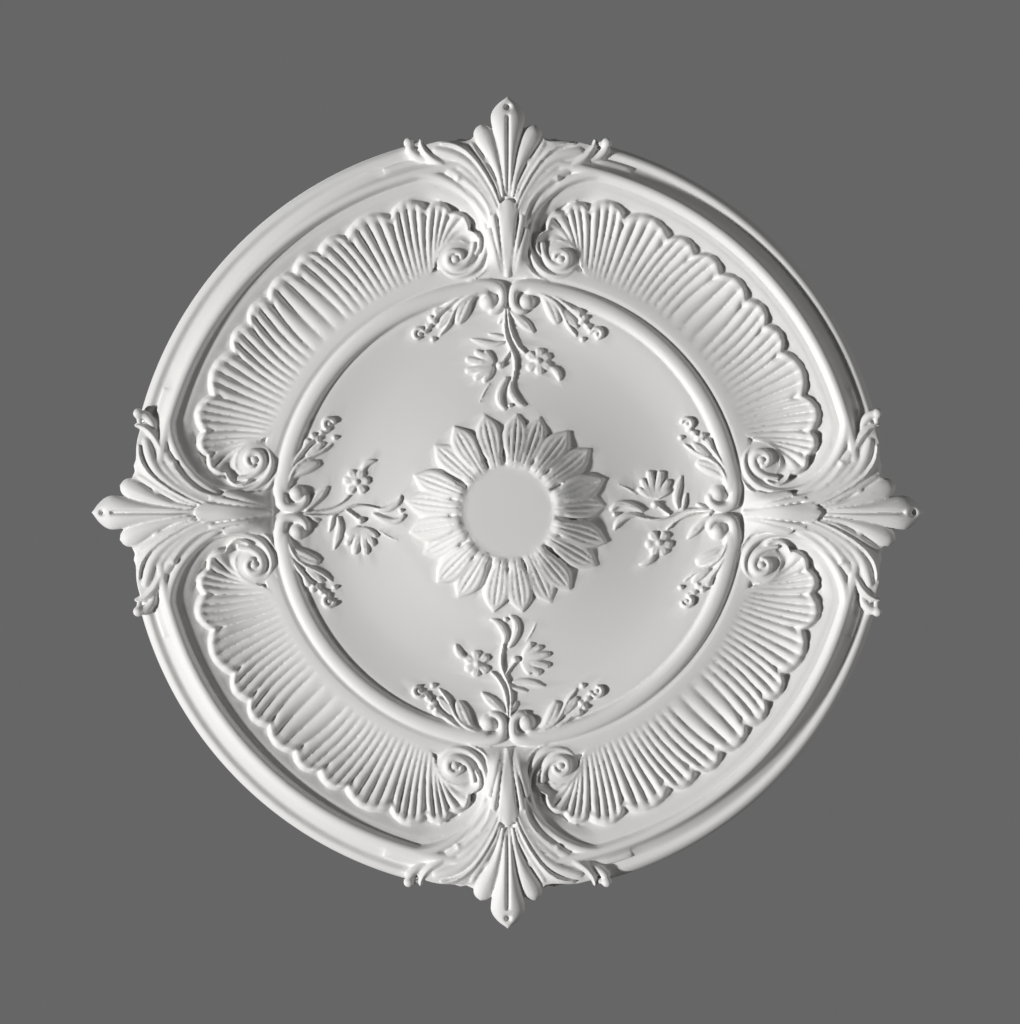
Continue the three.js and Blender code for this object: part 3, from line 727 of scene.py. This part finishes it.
def at_crests(quarter):
    """A quarter's ornament and its copies at the other crests."""
    pieces = [quarter]
    for number in range(1, QUARTERS):
        activate(quarter)
        bpy.ops.object.duplicate()
        copy = bpy.context.object
        copy.rotation_euler.z = 2 * math.pi * number / QUARTERS
        bpy.ops.object.transform_apply(location=False, rotation=True, scale=False)
        pieces.append(copy)
    return pieces


def cut_at_ceiling():
    """Cuts off what of the active object reaches past the ceiling."""
    bpy.ops.object.mode_set(mode="EDIT")
    bpy.ops.mesh.select_all(action="SELECT")
    bpy.ops.mesh.bisect(plane_co=(0, 0, 0), plane_no=(0, 0, 1), clear_outer=True)
    bpy.ops.object.mode_set(mode="OBJECT")


def close_back(casting):
    """Sets the edge of the cut on the ceiling, and closes the back with a face."""
    places = np.empty(len(casting.data.vertices) * 3)
    casting.data.vertices.foreach_get("co", places)
    places = places.reshape(-1, 3)
    places[places[:, 2] > -EDGE_REACH * MM, 2] = 0
    casting.data.vertices.foreach_set("co", places.ravel())
    bpy.ops.object.mode_set(mode="EDIT")
    bpy.ops.mesh.select_mode(type="EDGE")
    bpy.ops.mesh.select_all(action="DESELECT")
    bpy.ops.mesh.select_non_manifold(extend=False, use_wire=False, use_boundary=True,
                                     use_multi_face=False, use_non_contiguous=False,
                                     use_verts=False)
    bpy.ops.mesh.edge_face_add()
    bpy.ops.mesh.select_mode(type="FACE")
    bpy.ops.mesh.select_all(action="SELECT")
    bpy.ops.mesh.normals_make_consistent(inside=False)
    bpy.ops.object.mode_set(mode="OBJECT")


# Settings

# Where the lights stand, in degrees: the bearing clockwise from the picture's top, the height off
# the ceiling, below zero behind it, and the width of the light.
KEY_BEARING = -104
KEY_WIDTH = 5
SIDE_BEARING = 90
SIDE_HEIGHT = 14
SIDE_WIDTH = 20
TOP_BEARING = -35
TOP_HEIGHT = -50
TOP_WIDTH = 30
# The floor under the rose, in metres: how far below the ceiling it lies, and its radius.
FLOOR_BELOW = 4.8
FLOOR_RADIUS = 2.6
# How far the camera stands to the right of the rose's middle, and above it, in pixels.
EYE_RIGHT = 2.2
EYE_UP = 0.5
# Depth below the ceiling at which the span is measured, in metres.
SPAN_DEPTH = 0.028
# Tint of the primer where it is dusty.
DUST = (1.0, 0.995, 0.98)


class RoseSizes(bpy.types.PropertyGroup):
    """Sizes that a user would change."""

    round_steps: bpy.props.IntProperty(
        name="Round steps", description="Steps of the turned body", default=400, min=60)
    voxel: bpy.props.FloatProperty(
        name="Fusing grain", description="Grain at which the ornament is fused with the body",
        default=0.0010, min=0.0005, unit="LENGTH")
    soften: bpy.props.IntProperty(
        name="Softening", description="Passes that soften the carving as a mould does",
        default=2, min=0)
    triangles: bpy.props.IntProperty(
        name="Triangles", description="Most triangles of the finished casting",
        default=190000, min=10000)


class RoseFinish(bpy.types.PropertyGroup):
    """Colours and surface of the matte white primer."""

    base: bpy.props.FloatVectorProperty(
        name="Primer", description="Colour of the primer", subtype="COLOR",
        default=(0.77, 0.765, 0.755), size=3, min=0, max=1)
    tone: bpy.props.FloatProperty(
        name="Tone", description="Slow change of tone over the casting", default=0.025,
        min=0, max=0.2, subtype="FACTOR")
    grain: bpy.props.FloatProperty(
        name="Grain", description="Height of the fine grain", default=0.00005, min=0,
        unit="LENGTH")
    roughness: bpy.props.FloatProperty(
        name="Roughness", description="Roughness of the primer", default=0.62, min=0, max=1,
        subtype="FACTOR")


class RoseStage(bpy.types.PropertyGroup):
    """Light and camera."""

    span_pixels: bpy.props.FloatProperty(
        name="Span", description="Width of the rose between two crest tips, in pixels",
        default=834)
    picture_pixels: bpy.props.FloatProperty(
        name="Picture", description="Longer side of the picture, in pixels", default=1024)
    lens: bpy.props.FloatProperty(
        name="Lens", description="Focal length", default=110, min=20, unit="CAMERA")
    backdrop: bpy.props.FloatVectorProperty(
        name="Backdrop", description="Colour round the rose", subtype="COLOR",
        default=(0.133, 0.133, 0.133), size=3, min=0, max=1)
    ambient: bpy.props.FloatProperty(
        name="Ambient", description="Share of the backdrop that lights the rose", default=0.12)
    key: bpy.props.FloatProperty(
        name="Key", description="Strength of the light that grazes the relief", default=3.95)
    key_height: bpy.props.FloatProperty(
        name="Key height", description="Angle of the key light off the ceiling",
        default=math.radians(31), subtype="ANGLE")
    side: bpy.props.FloatProperty(
        name="Side", description="Strength of the weak light opposite the key", default=0.62)
    top: bpy.props.FloatProperty(
        name="Top", description="Strength of the light on the back", default=0.75)


# Shader nodes


class Socket:
    """A value of a shader tree, on which arithmetic adds Math nodes."""

    def __init__(self, tree, socket):
        self.tree, self.socket = tree, socket

    def math(self, operation, *values):
        """The value of a Math node that works on the given values."""
        return self.tree.node("ShaderNodeMath", {"operation": operation},
                              dict(enumerate(values)))[0]

    def __add__(self, other):
        return self.math("ADD", self, other)

    def __mul__(self, other):
        return self.math("MULTIPLY", self, other)

    __radd__, __rmul__ = __add__, __mul__


class Tree:
    """Builds the nodes of a material or a world."""

    def __init__(self, owner):
        owner.use_nodes = True
        self.tree = owner.node_tree
        self.tree.nodes.clear()

    def node(self, kind, settings=None, inputs=None):
        """Adds a node with its settings, then its inputs, and gives its outputs."""
        node = self.tree.nodes.new(kind)
        for key, value in (settings or {}).items():
            setattr(node, key, value)
        for key, value in (inputs or {}).items():
            if isinstance(value, Socket):
                self.tree.links.new(value.socket, node.inputs[key])
            else:
                node.inputs[key].default_value = value
        names = {}
        for number, out in enumerate(node.outputs):
            names[number] = names[out.name] = Socket(self, out)
        return names


def primer_material(finish):
    """Matte white primer, with a slow change of tone and a fine grain."""
    material = bpy.data.materials.new("primed_white")
    tree = Tree(material)
    spot = tree.node("ShaderNodeTexCoord")["Object"]
    clouds = tree.node("ShaderNodeTexNoise", {}, {
        "Vector": spot, "Scale": 9.0, "Detail": 3.0, "Roughness": 0.55})["Fac"]
    specks = tree.node("ShaderNodeTexNoise", {}, {
        "Vector": spot, "Scale": 420.0, "Detail": 3.0, "Roughness": 0.6})["Fac"]
    pores = tree.node("ShaderNodeTexNoise", {}, {
        "Vector": spot, "Scale": 1500.0, "Detail": 2.0, "Roughness": 0.5})["Fac"]
    base = tuple(finish.base)
    dusty = tuple(value * (1 - 2 * finish.tone) * warm
                  for value, warm in zip(base, DUST))
    colour = tree.node("ShaderNodeMix", {"data_type": "RGBA"}, {
        0: clouds * 0.75 + specks * 0.25, 6: (*base, 1), 7: (*dusty, 1)})[2]
    roughness = clouds * 0.1 + specks * 0.06 + (finish.roughness - 0.08)
    bump = tree.node("ShaderNodeBump", {}, {
        "Strength": 0.5, "Distance": finish.grain, "Height": specks * 0.6 + pores * 0.4})[0]
    shader = tree.node("ShaderNodeBsdfPrincipled", {}, {
        "Base Color": colour, "Roughness": roughness, "Normal": bump,
        "Specular IOR Level": 0.35})["BSDF"]
    tree.node("ShaderNodeOutputMaterial", {}, {"Surface": shader})
    return material


def sun(name, strength, bearing, height, width):
    """A light from a bearing in the picture, at a height off the ceiling."""
    data = bpy.data.lights.new(name, "SUN")
    data.energy = strength
    data.angle = math.radians(width)
    lamp = bpy.data.objects.new(name, data)
    bpy.context.collection.objects.link(lamp)
    across = math.cos(height)
    towards = place((across * math.sin(math.radians(bearing)),
                     across * math.cos(math.radians(bearing)), math.sin(height)))
    lamp.rotation_euler = Vector(towards).to_track_quat("Z", "Y").to_euler()


# Operators


class ROSE_OT_turn_body(bpy.types.Operator):
    """Turns the round body from its profile, and makes room for the crests in it"""

    bl_idname = "rose.turn_body"
    bl_label = "Turn Body"

    def execute(self, context):
        corners = [(0, *point) for point in body_profile()]
        corners += [(0, 0, DISC_HEIGHT), (0, 0, UNDERSIDE)]
        deselect()
        bpy.ops.mesh.primitive_circle_add(vertices=len(corners), fill_type="NOTHING")
        body = bpy.context.object
        body.name = "body"
        body.data.vertices.foreach_set("co", place(corners).ravel())
        steps = context.scene.rose_sizes.round_steps
        bpy.ops.object.mode_set(mode="EDIT")
        bpy.ops.mesh.select_all(action="SELECT")
        bpy.ops.mesh.spin(steps=steps, angle=2 * math.pi, center=(0, 0, 0), axis=(0, 0, 1))
        bpy.ops.mesh.select_all(action="SELECT")
        bpy.ops.mesh.remove_doubles(threshold=0.02 * MM)
        bpy.ops.mesh.normals_make_consistent(inside=False)
        bpy.ops.object.mode_set(mode="OBJECT")
        co = np.empty(len(body.data.vertices) * 3)
        body.data.vertices.foreach_get("co", co)
        co = co.reshape(-1, 3)
        radius = np.hypot(co[:, 0], co[:, 1]) / MM
        off = np.minimum(np.abs(co[:, 0]), np.abs(co[:, 1])) / MM
        beside = np.degrees(np.arcsin(off / np.maximum(radius, 1)))
        near = np.clip((LEAF_ANGLE - beside) / LEAF_ANGLE_EDGE, 0, 1)
        height = opened_ring(-co[:, 2] / MM, radius, off)
        co[:, 2] = -fallen_rim(height, radius, near) * MM
        drawn = frilled_rim(radius, beside, near)
        co[:, :2] *= (1 - drawn / np.maximum(radius, 1))[:, None]
        body.data.vertices.foreach_set("co", co.ravel())
        body.data.update()
        return {"FINISHED"}


class ROSE_OT_carve_shell(bpy.types.Operator):
    """Carves the fluted shell of a panel"""

    bl_idname = "rose.carve_shell"
    bl_label = "Carve Shell"

    def execute(self, context):
        join("shell", [block(shell_sheet())])
        return {"FINISHED"}


class ROSE_OT_carve_border(bpy.types.Operator):
    """Carves the ends of the border beside a crest, with their volutes"""

    bl_idname = "rose.carve_border"
    bl_label = "Carve Border Ends"

    def execute(self, context):
        sheets = [border_sheet(), stroke(*VOLUTE_ROLL), stroke(*VOLUTE_RIDGE)]
        pieces = [block(saddle_sheet())] + both_sides(sheets) + side_beads(VOLUTE_BEADS)
        join("border_ends", pieces)
        return {"FINISHED"}


class ROSE_OT_carve_crest(bpy.types.Operator):
    """Carves a crest: its leaves, its spear and the calyx below"""

    bl_idname = "rose.carve_crest"
    bl_label = "Carve Crest"

    def execute(self, context):
        leaf = fan(both_halves(LEAF_LINES), FAN_ACROSS, LEAF_ALONG)
        pieces = [block(leaf, CREST_FLOOR), block(spear_sheet(), CREST_FLOOR)]
        pieces += both_sides([stroke(*finger) for finger in FINGERS], CREST_FLOOR)
        pieces += side_beads(KNOBS)
        pieces += [block(fan(both_halves(CALYX_LINES), FAN_ACROSS, CALYX_ALONG))]
        join("crest", pieces)
        return {"FINISHED"}


class ROSE_OT_curl_ring(bpy.types.Operator):
    """Curls the two ends of the inner ring round their ball eyes"""

    bl_idname = "rose.curl_ring"
    bl_label = "Curl Ring"

    def execute(self, context):
        join("ring_ends", both_sides([stroke(*RING_CURL)]) + side_beads(RING_EYES))
        return {"FINISHED"}


class ROSE_OT_lay_sprays(bpy.types.Operator):
    """Lays the sprigs and the flower spray on the field"""

    bl_idname = "rose.lay_sprays"
    bl_label = "Lay Sprays"

    def execute(self, context):
        pieces = both_sides([low_stroke(*leaf) for leaf in SPRIG])
        pieces += [block(low_stroke(*leaf)) for leaf in SPRAY]
        pieces += [low_bead((side * x, y), radius, relief)
                   for side in (1, -1) for (x, y), radius, relief in SPRIG_BEADS]
        pieces += [low_bead(*spot) for spot in SPRAY_BEADS]
        pieces += [block(bloom_petal(*petal)) for petal in BLOOM_PETALS]
        join("sprays", pieces)
        return {"FINISHED"}


class ROSE_OT_open_sunflower(bpy.types.Operator):
    """Sets the petals of the sunflower round the disc"""

    bl_idname = "rose.open_sunflower"
    bl_label = "Open Sunflower"

    def execute(self, context):
        petals = [block(petal_sheet(*petal, number), PETAL_FLOOR)
                  for number, petal in enumerate(PETALS)]
        join("sunflower", petals)
        return {"FINISHED"}


class ROSE_OT_cast(bpy.types.Operator):
    """Copies the ornament to the four crests and fuses it with the body into one casting"""

    bl_idname = "rose.cast"
    bl_label = "Cast"

    def execute(self, context):
        sizes = context.scene.rose_sizes
        quarter = join("quarter", [bpy.data.objects[name] for name in ORNAMENT])
        round_pieces = [bpy.data.objects["body"], bpy.data.objects["sunflower"]]
        rose = join("rose_casting", at_crests(quarter) + round_pieces)
        grain = sizes.voxel * 1
        apply_modifier(rose, "fuse", "REMESH", mode="VOXEL", voxel_size=grain)
        cut_at_ceiling()
        apply_modifier(rose, "soften", "SMOOTH", factor=SOFTEN_SHARE, iterations=sizes.soften)
        triangles = sum(len(face.vertices) - 2 for face in rose.data.polygons)
        apply_modifier(rose, "thin", "DECIMATE", ratio=min(1.0, sizes.triangles / triangles))
        close_back(rose)
        activate(rose)
        bpy.ops.object.shade_smooth_by_angle(angle=SHARP_ANGLE)
        rose.data.materials.clear()
        rose.data.materials.append(primer_material(context.scene.rose_finish))
        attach(rose, "root")
        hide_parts("ceiling_rose")
        return {"FINISHED"}


class ROSE_OT_dress_stage(bpy.types.Operator):
    """Adds the pale floor far below, the lights and the camera that looks up"""

    bl_idname = "rose.dress_stage"
    bl_label = "Dress Stage"

    def execute(self, context):
        stage = context.scene.rose_stage
        deselect()
        bpy.ops.mesh.primitive_circle_add(vertices=96, radius=FLOOR_RADIUS, fill_type="NGON",
                                          location=(0, 0, -FLOOR_BELOW))
        floor = bpy.context.object
        floor.name = "floor"
        bpy.ops.object.transform_apply()
        plain = bpy.data.materials.new("pale_floor")
        tree = Tree(plain)
        shader = tree.node("ShaderNodeBsdfPrincipled", {}, {
            "Base Color": (0.62, 0.62, 0.61, 1), "Roughness": 0.9})["BSDF"]
        tree.node("ShaderNodeOutputMaterial", {}, {"Surface": shader})
        floor.data.materials.append(plain)

        sun("key", stage.key, KEY_BEARING, stage.key_height, KEY_WIDTH)
        sun("side", stage.side, SIDE_BEARING, math.radians(SIDE_HEIGHT), SIDE_WIDTH)
        sun("top", stage.top, TOP_BEARING, math.radians(TOP_HEIGHT), TOP_WIDTH)

        world = bpy.data.worlds.new("backdrop")
        context.scene.world = world
        tree = Tree(world)
        seen = tree.node("ShaderNodeLightPath")["Is Camera Ray"]
        glow = tree.node("ShaderNodeBackground", {}, {
            "Color": (*stage.backdrop, 1), "Strength": stage.ambient})[0]
        back = tree.node("ShaderNodeBackground", {}, {
            "Color": (*stage.backdrop, 1), "Strength": 1.0})[0]
        both = tree.node("ShaderNodeMixShader", {}, {0: seen, 1: glow, 2: back})[0]
        tree.node("ShaderNodeOutputWorld", {}, {"Surface": both})

        camera = bpy.data.cameras.new("camera")
        camera.lens = stage.lens
        pixel = 2 * HALF_SPAN / stage.span_pixels
        distance = pixel * stage.picture_pixels * camera.lens / camera.sensor_width
        eye = bpy.data.objects.new("camera", camera)
        context.collection.objects.link(eye)
        eye.location = (EYE_RIGHT * pixel, -EYE_UP * pixel, -distance - SPAN_DEPTH)
        eye.rotation_euler = (math.pi, 0, 0)
        context.scene.camera = eye
        context.scene.view_settings.view_transform = "Standard"
        return {"FINISHED"}


class ROSE_PT_panel(bpy.types.Panel):
    """Lists the steps that build the rose"""

    bl_idname = "ROSE_PT_panel"
    bl_label = "Ceiling Rose"
    bl_space_type = "VIEW_3D"
    bl_region_type = "UI"
    bl_category = "Rose"

    def draw(self, context):
        for group in ("rose_sizes", "rose_finish", "rose_stage"):
            settings = getattr(context.scene, group)
            for name in settings.__annotations__:
                self.layout.prop(settings, name)
        for step in STEPS:
            self.layout.operator(step.bl_idname)


STEPS = (ROSE_OT_turn_body, ROSE_OT_carve_shell, ROSE_OT_carve_border, ROSE_OT_carve_crest,
         ROSE_OT_curl_ring, ROSE_OT_lay_sprays, ROSE_OT_open_sunflower, ROSE_OT_cast,
         ROSE_OT_dress_stage)
GROUPS = {"rose_sizes": RoseSizes, "rose_finish": RoseFinish, "rose_stage": RoseStage}


def register():
    """Registers the settings, the steps and the panel."""
    for name, group in GROUPS.items():
        bpy.utils.register_class(group)
        setattr(bpy.types.Scene, name, bpy.props.PointerProperty(type=group))
    for step in (*STEPS, ROSE_PT_panel):
        bpy.utils.register_class(step)


def unregister():
    """Takes the panel, the steps and the settings away again."""
    for step in reversed((*STEPS, ROSE_PT_panel)):
        bpy.utils.unregister_class(step)
    for name, group in GROUPS.items():
        delattr(bpy.types.Scene, name)
        bpy.utils.unregister_class(group)


def main():
    """Builds the rose and its stage."""
    register()
    for step in STEPS:
        group, name = step.bl_idname.split(".")
        getattr(getattr(bpy.ops, group), name)()


if __name__ == "__main__":
    main()
